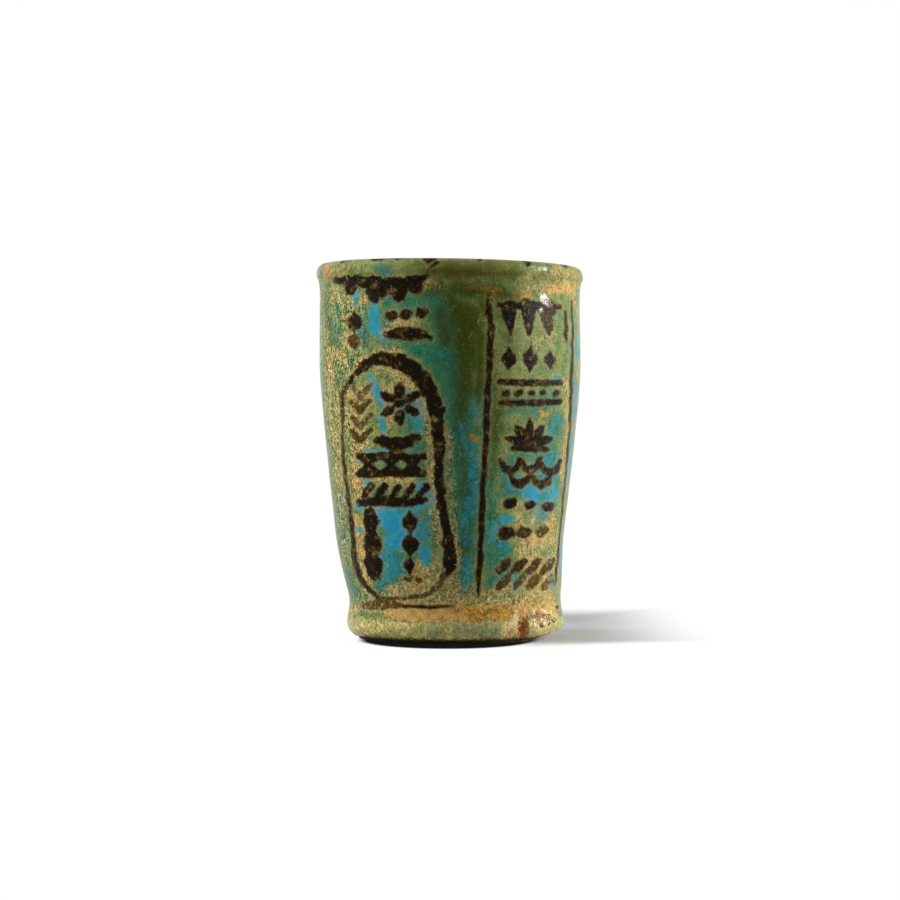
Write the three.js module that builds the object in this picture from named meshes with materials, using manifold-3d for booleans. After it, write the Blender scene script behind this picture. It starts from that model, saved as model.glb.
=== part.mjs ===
// Small libation cup of glazed quartz paste, in millimetres.
// +Z is up, the painted front faces -Y, and the origin is the centre of the flat that it stands on.
// The cup is three bodies that lie face to face: the fired paste core, the outer glaze, which runs
// from just above the standing flat up over the lip, and the inner glaze, which pools on the floor.

import * as THREE from "three";
import { mergeVertices } from "three/addons/utils/BufferGeometryUtils.js";
import Module from "manifold-3d";

// Outer form, as heights above the standing flat and radii of the glazed surface
const cupHeight = 60.2;
const standRadius = 15.7;
const glazeEdgeHeight = 0.5;
const footTurnHeight = 1.3;
const footHeight = 2.8;
const footRadius = 17.6;
const waistHeight = 6.3;
const waistRadius = 17.2;
const bellyRadius = 18.05;
const flankRadius = 20.1;
const shoulderRadius = 21.15;
const neckRadius = 21.1;
const neckDrop = 2.7;
const lipSwell = 0.5;
const lipCrown = 1.9;
const lipThickness = 3.1;
const lipSquareness = 2.7;

// How far out the foot's rounded lower edge has come, between the standing flat and the foot
const glazeEdgeShare = 0.42;
const footTurnShare = 0.82;

// How far up the wall's stations lie, between the waist and the neck
const bellyShare = 0.126;
const flankShare = 0.501;
const shoulderShare = 0.744;

// Wall across paste and both glazes at the same stations, and the floor of the hollow
const neckWall = 3.3;
const shoulderWall = 3.45;
const flankWall = 3.7;
const bellyWall = 4.1;
const floorHeight = 6.3;
const floorTurnRise = 1.7;
const floorTurnShare = 0.8;
const floorFlatShare = 0.54;

// Glaze
const outerGlazeThickness = 0.45;
const innerGlazeThickness = 0.35;
const glazePoolDepth = 0.8;
const poolStartShare = 0.5;

// What the hand made uneven: the body stands off the foot's centre, and the rim falls to one side
const bodyOffset = -0.9;
const offsetStartHeight = 4;
const offsetEndHeight = 17;
const rimFall = 0.33;
const rimFallDepth = 10.2;

// The damage to the foot: a break that slants up across its edge on the +X side, a notch up from the
// standing edge where the break begins, and a shallow flake above the foot's swell. Notch and flake
// are each the hollow of a pebble, by its half width round the foot, half depth and half height, and
// the pebble's skin rises and falls in two crossing sets of waves.
const breakInset = 6.1;
const breakSlant = THREE.MathUtils.degToRad(18);
const breakOverrun = 3;
const notchAngle = THREE.MathUtils.degToRad(38);
const notchHeight = 0.9;
const notchSize = new THREE.Vector3(1.2, 1.6, 2.9);
const flakeAngle = THREE.MathUtils.degToRad(53);
const flakeRise = 0.5;
const flakeSize = new THREE.Vector3(3.4, 1.05, 1.0);
const chipStandOff = 0.15;
const chipRoughShare = 0.12;
const chipWaves = new THREE.Vector3(7, 0, 3);
const chipCrossWaves = new THREE.Vector3(0, -4, 5);

// Facets
const segments = 60;
const stepsPerSpan = 2;
const lipSteps = 8;
const chipDetail = 3;

// What follows from those
const lipRadius = neckRadius + lipSwell;
const lipHeight = cupHeight - lipCrown;
const neckHeight = lipHeight - neckDrop;
const bellyHeight = THREE.MathUtils.lerp(waistHeight, neckHeight, bellyShare);
const flankHeight = THREE.MathUtils.lerp(waistHeight, neckHeight, flankShare);
const shoulderHeight = THREE.MathUtils.lerp(waistHeight, neckHeight, shoulderShare);

const pasteFinish = new THREE.MeshStandardMaterial({ color: 0xb39a6b, roughness: 0.95, metalness: 0 });
const outerGlazeFinish = new THREE.MeshStandardMaterial({ color: 0x4f8a72, roughness: 0.38, metalness: 0 });
const innerGlazeFinish = new THREE.MeshStandardMaterial({ color: 0x4a9a92, roughness: 0.34, metalness: 0 });

const wasm = await Module();
wasm.setup();

// Points along a smooth curve through the stations, each given as a radius and a height.
function throughStations(stations) {
  const points = stations.map(([radius, height]) => new THREE.Vector2(radius, height));
  return new THREE.SplineCurve(points).getPoints(stepsPerSpan * (stations.length - 1));
}

// The lip's top, a squared half ellipse from its widest line over the crown to the inner edge.
function lipOutline() {
  const halfWidth = lipThickness / 2;
  const crownRadius = lipRadius - halfWidth;
  const points = [];
  for (let i = 0; i <= lipSteps; i++) {
    const turn = (Math.PI * i) / lipSteps;
    const across = Math.sign(Math.cos(turn)) * Math.abs(Math.cos(turn)) ** (2 / lipSquareness);
    const up = Math.abs(Math.sin(turn)) ** (2 / lipSquareness);
    points.push(new THREE.Vector2(crownRadius + halfWidth * across, lipHeight + lipCrown * up));
  }
  return points;
}

// The outline set in by a depth that may change along it, to the left of its direction of travel.
function setIn(points, depthAt) {
  return points.map((point, i) => {
    const before = points[Math.max(i - 1, 0)];
    const after = points[Math.min(i + 1, points.length - 1)];
    const along = after.clone().sub(before).normalize();
    const inward = new THREE.Vector2(-along.y, along.x);
    return point.clone().addScaledVector(inward, depthAt(i / (points.length - 1)));
  });
}

// The outer glaze's surface, from its lower edge up the wall and over the lip.
function outerSurface() {
  const wall = throughStations([
    [THREE.MathUtils.lerp(standRadius, footRadius, glazeEdgeShare), glazeEdgeHeight],
    [THREE.MathUtils.lerp(standRadius, footRadius, footTurnShare), footTurnHeight],
    [footRadius, footHeight],
    [waistRadius, waistHeight],
    [bellyRadius, bellyHeight],
    [flankRadius, flankHeight],
    [shoulderRadius, shoulderHeight],
    [neckRadius, neckHeight],
    [lipRadius, lipHeight],
  ]);
  return [...wall.slice(0, -1), ...lipOutline()];
}

// The inner glaze's surface, from the lip's inner edge down the wall to the middle of the floor.
function innerSurface() {
  const innerBellyRadius = bellyRadius - bellyWall;
  const wall = throughStations([
    [lipRadius - lipThickness, lipHeight],
    [neckRadius - neckWall, neckHeight],
    [shoulderRadius - shoulderWall, shoulderHeight],
    [flankRadius - flankWall, flankHeight],
    [innerBellyRadius, bellyHeight],
    [floorTurnShare * innerBellyRadius, floorHeight + floorTurnRise],
    [floorFlatShare * innerBellyRadius, floorHeight],
  ]);
  return [...wall, new THREE.Vector2(0, floorHeight)];
}

// The inner glaze's depth at a share of the way down its surface: thin on the wall, pooled on the floor.
function innerGlazeDepth(share) {
  const pooled = THREE.MathUtils.smoothstep(share, poolStartShare, 1);
  return THREE.MathUtils.lerp(innerGlazeThickness, glazePoolDepth, pooled);
}

// Moves a turned body's vertices to where the hand left them.
function unevenly(geometry) {
  const position = geometry.getAttribute("position");
  for (let i = 0; i < position.count; i++) {
    const x = position.getX(i);
    const z = position.getZ(i);
    const lean = THREE.MathUtils.smoothstep(z, offsetStartHeight, offsetEndHeight);
    const fall = THREE.MathUtils.smoothstep(z, cupHeight - rimFallDepth, cupHeight);
    position.setX(i, x + bodyOffset * lean);
    position.setZ(i, z - (rimFall * fall * x) / lipRadius);
  }
  return geometry;
}

// A body turned about Z from a closed outline that runs anticlockwise, with its axis on the left.
function turned(outline) {
  const geometry = new THREE.LatheGeometry(outline, segments);
  return unevenly(geometry.rotateX(Math.PI / 2));
}

// A glaze coat turned from the two lines that it lies between. It follows the paste's line in the
// paste's own direction, so that their facets split along the same diagonals, and is then faced out.
function coat(pasteLine, surfaceLine) {
  const geometry = turned([...pasteLine, ...surfaceLine.toReversed(), pasteLine[0]]);
  const index = geometry.getIndex();
  for (let i = 0; i < index.count; i += 3) {
    const second = index.getX(i + 1);
    index.setX(i + 1, index.getX(i + 2));
    index.setX(i + 2, second);
  }
  return geometry;
}

function solidOf(geometry) {
  const bare = geometry.clone();
  bare.deleteAttribute("normal");
  bare.deleteAttribute("uv");
  const merged = mergeVertices(bare);
  return new wasm.Manifold(
    new wasm.Mesh({
      numProp: 3,
      vertProperties: merged.getAttribute("position").array,
      triVerts: new Uint32Array(merged.index.array),
    }),
  );
}

function geometryOf(solid) {
  const mesh = solid.getMesh();
  const geometry = new THREE.BufferGeometry();
  geometry.setAttribute("position", new THREE.BufferAttribute(mesh.vertProperties, mesh.numProp));
  geometry.setIndex(new THREE.BufferAttribute(mesh.triVerts, 1));
  geometry.computeVertexNormals();
  return geometry;
}

// One scoop of the chip: a rough pebble bent round the foot, at an angle from the front towards +X.
function scoop(size, angle, height) {
  const pebble = new THREE.IcosahedronGeometry(1, chipDetail);
  const position = pebble.getAttribute("position");
  const point = new THREE.Vector3();
  for (let i = 0; i < position.count; i++) {
    point.fromBufferAttribute(position, i);
    const ripple = Math.sin(point.dot(chipWaves)) * Math.cos(point.dot(chipCrossWaves));
    point.multiplyScalar(1 + chipRoughShare * ripple);
    point.multiply(size);
    const turn = angle + point.x / footRadius;
    const reach = footRadius + chipStandOff - point.y;
    position.setXYZ(i, reach * Math.sin(turn), -reach * Math.cos(turn), height + point.z);
  }
  return solidOf(pebble);
}

// What the break takes: a slab whose slanted top leaves the standing flat at the break's inset.
function brokenOff() {
  const length = 2 * footRadius;
  const slab = new THREE.BoxGeometry(length, length, footRadius);
  slab.translate(footRadius - breakOverrun, 0, -footRadius / 2);
  slab.rotateY(-breakSlant);
  slab.translate(footRadius - breakInset, 0, 0);
  return solidOf(slab);
}

function chipped(geometry) {
  const notch = scoop(notchSize, notchAngle, notchHeight);
  const flake = scoop(flakeSize, flakeAngle, footHeight + flakeRise);
  return geometryOf(solidOf(geometry).subtract(notch.add(flake)).subtract(brokenOff()));
}

function named(name, geometry, material) {
  const mesh = new THREE.Mesh(geometry, material);
  mesh.name = name;
  return mesh;
}

const outer = outerSurface();
const coreOuter = setIn(outer, () => outerGlazeThickness);
const inner = innerSurface();
const coreInner = setIn(inner, innerGlazeDepth);
coreInner[0] = coreOuter.at(-1);
coreInner.at(-1).x = 0;

const coreOutline = [
  new THREE.Vector2(0, 0),
  new THREE.Vector2(standRadius, 0),
  ...coreOuter,
  ...coreInner.slice(1),
];

const cup = new THREE.Group();
cup.add(
  named("paste_core", chipped(turned(coreOutline)), pasteFinish),
  named("outer_glaze", chipped(coat(coreOuter, outer)), outerGlazeFinish),
  named("inner_glaze", coat(coreInner, inner), innerGlazeFinish),
);

export default cup;
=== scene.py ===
# Small libation cup of glazed quartz paste, built round its imported frame.
# The outer glaze, the paste body under it and the inner glaze are each turned from a profile, and the
# first two are chipped at the foot. The painted ornament and the glaze's own colours are laid on the
# outer glaze as distances, in millimetres, from brush strokes that were placed on the photograph's
# 900 x 900 pixels.

import math
import random

import bmesh
import bpy
import numpy as np
from mathutils import Matrix, Vector, noise
from mathutils.bvhtree import BVHTree
from mathutils.kdtree import KDTree


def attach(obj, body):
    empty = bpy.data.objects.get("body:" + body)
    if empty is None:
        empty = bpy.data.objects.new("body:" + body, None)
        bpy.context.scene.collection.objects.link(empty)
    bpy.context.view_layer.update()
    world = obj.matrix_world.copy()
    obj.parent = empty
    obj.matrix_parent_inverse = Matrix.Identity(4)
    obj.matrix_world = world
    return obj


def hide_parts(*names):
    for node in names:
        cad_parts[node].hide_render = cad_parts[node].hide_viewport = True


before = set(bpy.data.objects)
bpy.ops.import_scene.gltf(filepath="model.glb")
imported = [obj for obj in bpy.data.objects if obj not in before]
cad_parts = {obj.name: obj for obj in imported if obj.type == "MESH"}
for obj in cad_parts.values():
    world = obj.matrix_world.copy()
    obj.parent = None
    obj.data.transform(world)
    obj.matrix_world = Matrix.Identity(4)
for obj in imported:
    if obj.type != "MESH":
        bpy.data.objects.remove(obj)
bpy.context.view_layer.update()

MM = 0.001

# Form of the cup in millimetres, the same sizes as the frame's
CUP_HEIGHT = 60.2
STAND_RADIUS = 15.7
GLAZE_EDGE_HEIGHT = 0.5
FOOT_TURN_HEIGHT = 1.3
FOOT_HEIGHT = 2.8
FOOT_RADIUS = 17.6
WAIST_HEIGHT = 6.3
WAIST_RADIUS = 17.2
BELLY_RADIUS = 18.05
FLANK_RADIUS = 20.1
SHOULDER_RADIUS = 21.15
NECK_RADIUS = 21.1
NECK_DROP = 2.7
LIP_SWELL = 0.5
LIP_CROWN = 1.9
LIP_THICKNESS = 3.1
LIP_SQUARENESS = 2.7
GLAZE_EDGE_SHARE = 0.42
FOOT_TURN_SHARE = 0.82
BELLY_SHARE = 0.126
FLANK_SHARE = 0.501
SHOULDER_SHARE = 0.744
NECK_WALL = 3.3
SHOULDER_WALL = 3.45
FLANK_WALL = 3.7
BELLY_WALL = 4.1
FLOOR_HEIGHT = 6.3
FLOOR_TURN_RISE = 1.7
FLOOR_TURN_SHARE = 0.8
FLOOR_FLAT_SHARE = 0.54
OUTER_GLAZE = 0.45
INNER_GLAZE = 0.35
GLAZE_POOL = 0.8
POOL_START_SHARE = 0.5
BODY_OFFSET = -0.9
OFFSET_START = 4
OFFSET_END = 17
RIM_FALL = 0.33
RIM_FALL_DEPTH = 10.2

LIP_RADIUS = NECK_RADIUS + LIP_SWELL
LIP_HEIGHT = CUP_HEIGHT - LIP_CROWN
NECK_HEIGHT = LIP_HEIGHT - NECK_DROP
CROWN_RADIUS = LIP_RADIUS - LIP_THICKNESS / 2

# The hand's unevenness: slow waves round the wall, and small dimples, both drawn out upwards
WAVE_HEIGHT = 0.13
WAVE_LENGTH = 17
WAVE_SQUASH = 0.7
DIMPLE_HEIGHT = 0.045
DIMPLE_LENGTH = 2.6
DIMPLE_SQUASH = 0.8
STEADY_RADIUS = 4
UNEVEN_RADIUS = 13

# Fineness of the meshes: steps in millimetres along the profile, and columns in each sector round it
SKIN_STEP = 0.3
FRONT_START = math.radians(-72)
SECTOR = math.radians(10)
FRONT_SECTORS = 15
FRONT_COLUMNS = 13
BACK_SECTORS = 21
BACK_COLUMNS = 5
BODY_COLUMNS = 7
INNER_COLUMNS = 6
INNER_STEP = 0.6
STAND_STEP = 0.5
CURVE_STEPS = 24
HIDDEN_STEPS = 3
HIDDEN_LIP_STEPS = 12
DENSE_LIP_STEPS = 120
LINE_STEP = 0.04
WELD_DISTANCE = 0.0005
SHARP_ANGLE = math.radians(40)

# The break that slants up across the foot's edge, and the waves and grain of its face
BREAK_INSET = 6.1
BREAK_SLANT = math.radians(18)
BREAK_SIZE = (12, 30, 4)
BREAK_OVERRUN = 3
BREAK_CUTS = 60
BREAK_WAVE = 0.2
BREAK_WAVE_LENGTH = 2.4
BREAK_GRAIN = 0.12
BREAK_GRAIN_LENGTH = 0.7

# Scoops out of the foot: turn in degrees, height, half width, half depth and half height, fineness
# and noise seed of a notch, a flake, and the nicks where their edges broke away
NOTCH = (38, 0.9, (1.2, 1.6, 2.9), 4, 3)
FLAKE = (53, 3.3, (3.4, 1.05, 1.0), 5, 8)
NICKS = (
    (36.2, 2.5, (0.7, 0.55, 1.1), 3, 20), (40.6, 3.9, (0.5, 0.6, 0.7), 3, 24),
    (44.5, 4.1, (0.8, 0.6, 0.6), 3, 28), (48.2, 4.3, (0.6, 0.6, 0.45), 3, 32),
    (52.4, 2.6, (0.8, 0.6, 0.5), 3, 36), (58.5, 4.0, (0.9, 0.6, 0.5), 3, 40),
)
SCOOP_STAND_OFF = 0.15
SCOOP_WAVES = 1.9
SCOOP_ROUGHNESS = 0.42
SCOOP_GRAIN = 0.45
SCOOP_GRAIN_LENGTH = 0.55

# The photograph's camera: a long lens, level, at the height of the cup's middle. Its pictures are
# square, and a pixel of the cup is PIXEL millimetres.
LENS = 110.7
SENSOR = 36
CAMERA_DISTANCE = 450
CAMERA_X = -0.9
CAMERA_HEIGHT = 30.4
PICTURE = 900
FOCAL = LENS / SENSOR * PICTURE
PIXEL = 1 / 6.3


def smoothstep(value, low, high):
    share = np.clip((value - low) / (high - low), 0, 1)
    return share * share * (3 - 2 * share)


# Profiles, as rows of radius and height in millimetres


def through(stations, steps):
    """Points along a smooth curve through the stations, the same curve as the frame's."""
    held = np.array([stations[0], *stations, stations[-1]], float)
    share = np.linspace(0, 1, steps, endpoint=False)[:, None]
    spans = []
    for before, start, end, after in zip(held, held[1:], held[2:], held[3:]):
        leave, arrive = (end - before) / 2, (after - start) / 2
        cubic = 2 * start - 2 * end + leave + arrive
        square = 3 * end - 3 * start - 2 * leave - arrive
        spans.append(cubic * share**3 + square * share**2 + leave * share + start)
    return np.concatenate([*spans, held[-1:]])


def lip(steps):
    """The lip's top, a squared half ellipse from its widest line over the crown to the inner edge."""
    turn = np.linspace(0, math.pi, steps + 1)
    across = np.sign(np.cos(turn)) * np.abs(np.cos(turn)) ** (2 / LIP_SQUARENESS)
    up = np.abs(np.sin(turn)) ** (2 / LIP_SQUARENESS)
    return np.column_stack([CROWN_RADIUS + LIP_THICKNESS / 2 * across, LIP_HEIGHT + LIP_CROWN * up])


def between(low, high, share):
    return low + (high - low) * share


def wall_height(share):
    return between(WAIST_HEIGHT, NECK_HEIGHT, share)


OUTER_WALL = [
    (between(STAND_RADIUS, FOOT_RADIUS, GLAZE_EDGE_SHARE), GLAZE_EDGE_HEIGHT),
    (between(STAND_RADIUS, FOOT_RADIUS, FOOT_TURN_SHARE), FOOT_TURN_HEIGHT),
    (FOOT_RADIUS, FOOT_HEIGHT),
    (WAIST_RADIUS, WAIST_HEIGHT),
    (BELLY_RADIUS, wall_height(BELLY_SHARE)),
    (FLANK_RADIUS, wall_height(FLANK_SHARE)),
    (SHOULDER_RADIUS, wall_height(SHOULDER_SHARE)),
    (NECK_RADIUS, NECK_HEIGHT),
    (LIP_RADIUS, LIP_HEIGHT),
]

INNER_BELLY = BELLY_RADIUS - BELLY_WALL
INNER_WALL = [
    (LIP_RADIUS - LIP_THICKNESS, LIP_HEIGHT),
    (NECK_RADIUS - NECK_WALL, NECK_HEIGHT),
    (SHOULDER_RADIUS - SHOULDER_WALL, wall_height(SHOULDER_SHARE)),
    (FLANK_RADIUS - FLANK_WALL, wall_height(FLANK_SHARE)),
    (INNER_BELLY, wall_height(BELLY_SHARE)),
    (FLOOR_TURN_SHARE * INNER_BELLY, FLOOR_HEIGHT + FLOOR_TURN_RISE),
    (FLOOR_FLAT_SHARE * INNER_BELLY, FLOOR_HEIGHT),
]


def outer_line(wall_steps, lip_steps):
    return np.concatenate([through(OUTER_WALL, wall_steps)[:-1], lip(lip_steps)])


def inner_line(wall_steps):
    return np.concatenate([through(INNER_WALL, wall_steps), [(0, FLOOR_HEIGHT)]])


def lengths_along(line):
    steps = np.linalg.norm(np.diff(line, axis=0), axis=1)
    return np.concatenate([[0], np.cumsum(steps)])


def evenly(line, spacing):
    """The same line with its points at an even spacing."""
    along = lengths_along(line)
    places = np.linspace(0, along[-1], max(1, round(along[-1] / spacing)) + 1)
    return np.column_stack([np.interp(places, along, line[:, k]) for k in (0, 1)])


def set_in(line, depths):
    """The line moved to the left of its direction of travel by a depth at each point."""
    ahead = np.concatenate([line[1:], line[-1:]]) - np.concatenate([line[:1], line[:-1]])
    ahead /= np.linalg.norm(ahead, axis=1)[:, None]
    return line + np.column_stack([-ahead[:, 1], ahead[:, 0]]) * np.reshape(depths, (-1, 1))


def inner_depths(count):
    """The inner glaze's depth at each point down its line: thin on the wall, pooled on the floor."""
    pooled = smoothstep(np.linspace(0, 1, count), POOL_START_SHARE, 1)
    return between(INNER_GLAZE, GLAZE_POOL, pooled)


DENSE_LINE = evenly(outer_line(CURVE_STEPS, DENSE_LIP_STEPS), LINE_STEP)
DENSE_ALONG = lengths_along(DENSE_LINE)
WALL_ROWS = int(np.argmax(DENSE_LINE[:, 1])) + 1
SKIN_LENGTH = DENSE_ALONG[-1]
CROWN_ALONG = DENSE_ALONG[WALL_ROWS - 1]


# Where the hand left the turned form


def lean(height):
    return BODY_OFFSET * smoothstep(height, OFFSET_START, OFFSET_END)


def rim_drop(height, across):
    fallen = smoothstep(height, CUP_HEIGHT - RIM_FALL_DEPTH, CUP_HEIGHT)
    return RIM_FALL * fallen * across / LIP_RADIUS


def by_hand(points):
    """Turned points in millimetres, moved to where the hand left them."""
    radius = np.hypot(points[:, 0], points[:, 1])
    swing = smoothstep(radius, STEADY_RADIUS, UNEVEN_RADIUS)
    out = np.zeros(len(points))
    for i, (x, y, z) in enumerate(points):
        wave = noise.noise(Vector((x, y, z * WAVE_SQUASH)) / WAVE_LENGTH)
        dimple = noise.noise(Vector((x, y, z * DIMPLE_SQUASH)) / DIMPLE_LENGTH)
        out[i] = WAVE_HEIGHT * wave + DIMPLE_HEIGHT * dimple
    stretch = 1 + swing * out / np.maximum(radius, STEADY_RADIUS)
    moved = points * np.column_stack([stretch, stretch, np.ones(len(points))])
    moved[:, 0] += lean(points[:, 2])
    moved[:, 2] -= rim_drop(points[:, 2], points[:, 0])
    return moved


# Mesh making


def turned(line, arcs, name, closed=False, start=0.0):
    """A profile spun about Z in millimetres, through arcs of (angle, columns, times over)."""
    whole = bmesh.new()
    turn = start
    for angle, columns, times in arcs:
        bm = bmesh.new()
        ring = [bm.verts.new((r * math.sin(turn), -r * math.cos(turn), z)) for r, z in line]
        ends = ring[1:] + ring[:1] if closed else ring[1:]
        part = ring + [bm.edges.new(pair) for pair in zip(ring, ends)]
        bmesh.ops.spin(bm, geom=part, cent=(0, 0, 0), axis=(0, 0, 1), angle=angle, steps=columns)
        sector = mesh_of(bm, "sector")
        for _ in range(times):
            whole.from_mesh(sector)
            sector.transform(Matrix.Rotation(angle, 4, "Z"))
            turn += angle
        bpy.data.meshes.remove(sector)
    bmesh.ops.remove_doubles(whole, verts=whole.verts, dist=WELD_DISTANCE)
    bmesh.ops.recalc_face_normals(whole, faces=whole.faces)
    return mesh_of(whole, name)


def mesh_of(bm, name):
    mesh = bpy.data.meshes.new(name)
    bm.to_mesh(mesh)
    bm.free()
    return mesh


def added(name, data):
    made = bpy.data.objects.new(name, data)
    bpy.context.scene.collection.objects.link(made)
    return made


def placed(mesh, name, material):
    mesh.materials.clear()
    mesh.materials.append(material)
    return added(name, mesh)


def points_of(mesh):
    flat = np.zeros(len(mesh.vertices) * 3, np.float32)
    mesh.vertices.foreach_get("co", flat)
    return flat.reshape(-1, 3).astype(float)


def set_points(mesh, points):
    mesh.vertices.foreach_set("co", points.astype(np.float32).ravel())
    mesh.update()


def scoop(turn, height, size, fineness, seed):
    """One scoop of the chip: a rough pebble bent round the foot, in millimetres."""
    bm = bmesh.new()
    bmesh.ops.create_icosphere(bm, subdivisions=fineness, radius=1)
    shift = Vector((seed, 0, 0))
    for vertex in bm.verts:
        unit = vertex.co.copy()
        unit *= 1 + noise.noise(unit * SCOOP_WAVES + shift) * SCOOP_ROUGHNESS
        grain = noise.noise(Vector(unit[k] * size[k] for k in range(3)) / SCOOP_GRAIN_LENGTH + shift)
        x, y, z = (unit[k] * (size[k] + SCOOP_GRAIN * grain) for k in range(3))
        around = math.radians(turn) + x / FOOT_RADIUS
        reach = FOOT_RADIUS + SCOOP_STAND_OFF - y
        vertex.co = (reach * math.sin(around), -reach * math.cos(around), height + z)
    bmesh.ops.recalc_face_normals(bm, faces=bm.faces)
    return mesh_of(bm, "scoop")


def broken_off():
    """What the break takes: a slab whose slanted, rough top leaves the standing flat at its inset."""
    bm = bmesh.new()
    bmesh.ops.create_cube(bm, size=1)
    bmesh.ops.subdivide_edges(bm, edges=bm.edges, cuts=BREAK_CUTS, use_grid_fill=True)
    bmesh.ops.translate(bm, verts=bm.verts, vec=(0.5, 0, -0.5))
    bmesh.ops.scale(bm, verts=bm.verts, vec=BREAK_SIZE)
    for vertex in bm.verts:
        if vertex.co.z > -0.001:
            wave = noise.noise(vertex.co / BREAK_WAVE_LENGTH)
            rough = noise.noise(vertex.co / BREAK_GRAIN_LENGTH)
            vertex.co.z += BREAK_WAVE * wave + BREAK_GRAIN * rough
    bmesh.ops.translate(bm, verts=bm.verts, vec=(-BREAK_OVERRUN, 0, 0))
    bmesh.ops.rotate(bm, verts=bm.verts, matrix=Matrix.Rotation(-BREAK_SLANT, 3, "Y"))
    bmesh.ops.translate(bm, verts=bm.verts, vec=(FOOT_RADIUS - BREAK_INSET, 0, 0))
    return mesh_of(bm, "broken_off")


def chipped(mesh):
    """The mesh with the break and the scoops cut from it."""
    whole = added("whole", mesh)
    cutters = [added("cutter", broken_off())]
    cutters += [added("cutter", scoop(*each)) for each in (NOTCH, FLAKE, *NICKS)]
    for cutter in cutters:
        taken = whole.modifiers.new(cutter.name, "BOOLEAN")
        taken.operation = "DIFFERENCE"
        taken.solver = "MANIFOLD"
        taken.object = cutter
    seen = whole.evaluated_get(bpy.context.evaluated_depsgraph_get())
    result = bpy.data.meshes.new_from_object(seen)
    for made in [whole, *cutters]:
        bpy.data.objects.remove(made)
    return result


# The outer surface laid flat: across from the front line, and along from the glaze's lower edge.
# Across runs as the photograph sees it, and keeps its last pace once it has gone a sixth round.

TURN_LIMIT = math.radians(60)

# How many millimetres from a stroke its distance is still measured
FAR = 3.0


def flattened(turn):
    past = np.maximum(np.abs(turn) - TURN_LIMIT, 0)
    seen = np.sin(np.clip(turn, -TURN_LIMIT, TURN_LIMIT))
    return seen + np.sign(turn) * past * math.cos(TURN_LIMIT)


def on_cup(x, y):
    """Where a pixel of the photograph falls on the cup, as its turn from the front and its height."""
    turn = np.zeros(np.shape(x))
    radius = np.full(np.shape(x), LIP_RADIUS)
    for _ in range(8):
        depth = CAMERA_DISTANCE - radius * np.cos(turn)
        across = CAMERA_X + (x - PICTURE / 2) * depth / FOCAL
        height = CAMERA_HEIGHT + (PICTURE / 2 - y) * depth / FOCAL
        height = height + rim_drop(height, across)
        radius = np.interp(height, DENSE_LINE[:WALL_ROWS, 1], DENSE_LINE[:WALL_ROWS, 0])
        turn = np.arcsin(np.clip((across - lean(height)) / radius, -1, 1))
    return turn, height


def on_sheet(turn, along):
    radius = np.interp(along, DENSE_ALONG, DENSE_LINE[:, 0])
    return np.column_stack([radius * flattened(turn), along])


def seen_stroke(points):
    """A stroke of (x, y, half width) pixels, as (across, along, half width) millimetres."""
    x, y, half = np.array(points, float).T
    turn, height = on_cup(x, y)
    along = np.interp(height, DENSE_LINE[:WALL_ROWS, 1], DENSE_ALONG[:WALL_ROWS])
    return np.column_stack([on_sheet(turn, along), half * PIXEL])


def inside(strokes, places):
    """How far each place lies inside the nearest stroke, in millimetres, and negative outside."""
    depth = np.full(len(places), -FAR)
    owner = np.full(len(places), -1)
    for number, stroke in enumerate(strokes):
        for a, b in zip(stroke, stroke[1:] if len(stroke) > 1 else stroke):
            margin = max(a[2], b[2]) + FAR
            low = np.minimum(a[:2], b[:2]) - margin
            high = np.maximum(a[:2], b[:2]) + margin
            near = np.nonzero(((places > low) & (places < high)).all(axis=1))[0]
            if not len(near):
                continue
            run = b[:2] - a[:2]
            share = ((places[near] - a[:2]) @ run) / max(run @ run, 1e-9)
            share = np.clip(share, 0, 1)
            away = np.linalg.norm(places[near] - a[:2] - share[:, None] * run, axis=1)
            here = between(a[2], b[2], share) - away
            deeper = here > depth[near]
            depth[near[deeper]] = here[deeper]
            owner[near[deeper]] = number
    return depth, owner


# Painted ornament, in pixels of the photograph with half widths, and how worn each stroke is

strokes, worn = [], []
rng = random.Random(7)
USUAL_WEAR = 0.15
BRUSH_STRAY = (-0.7, 0.7)
BRUSH_SWELL = (0.84, 1.16)
SWEEP_STEPS = 4


def paint(points, wear=USUAL_WEAR):
    """Adds a stroke, with the unsteadiness of a brush."""
    strokes.append([(x + rng.uniform(*BRUSH_STRAY), y + rng.uniform(*BRUSH_STRAY),
                     half * rng.uniform(*BRUSH_SWELL)) for x, y, half in points])
    worn.append(wear)


def sweep(points, wear=USUAL_WEAR):
    """Adds a stroke whose pixels are joined by a smooth curve."""
    paint(through(points, SWEEP_STEPS), wear)


def bar(x0, y0, x1, y1, half, wear=USUAL_WEAR):
    middle = ((x0 + x1) / 2, (y0 + y1) / 2)
    paint([(x0, y0, half * 0.75), (*middle, half), (x1, y1, half * 0.8)], wear)


def petal(x, y, length, half, turn, wear=USUAL_WEAR):
    """A filled leaf that starts at a pixel and points turn degrees round from straight up."""
    across, up = math.sin(math.radians(turn)), -math.cos(math.radians(turn))
    shape = ((0, 0.4), (0.25, 0.85), (0.5, 1), (0.75, 0.75), (1, 0.25))
    paint([(x + across * length * s, y + up * length * s, half * w) for s, w in shape], wear)


def dot(x, y, half, wear=USUAL_WEAR):
    paint([(x - half * 0.3, y + 0.5, half * 0.9), (x + half * 0.3, y - 0.5, half * 0.85)], wear)


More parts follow.
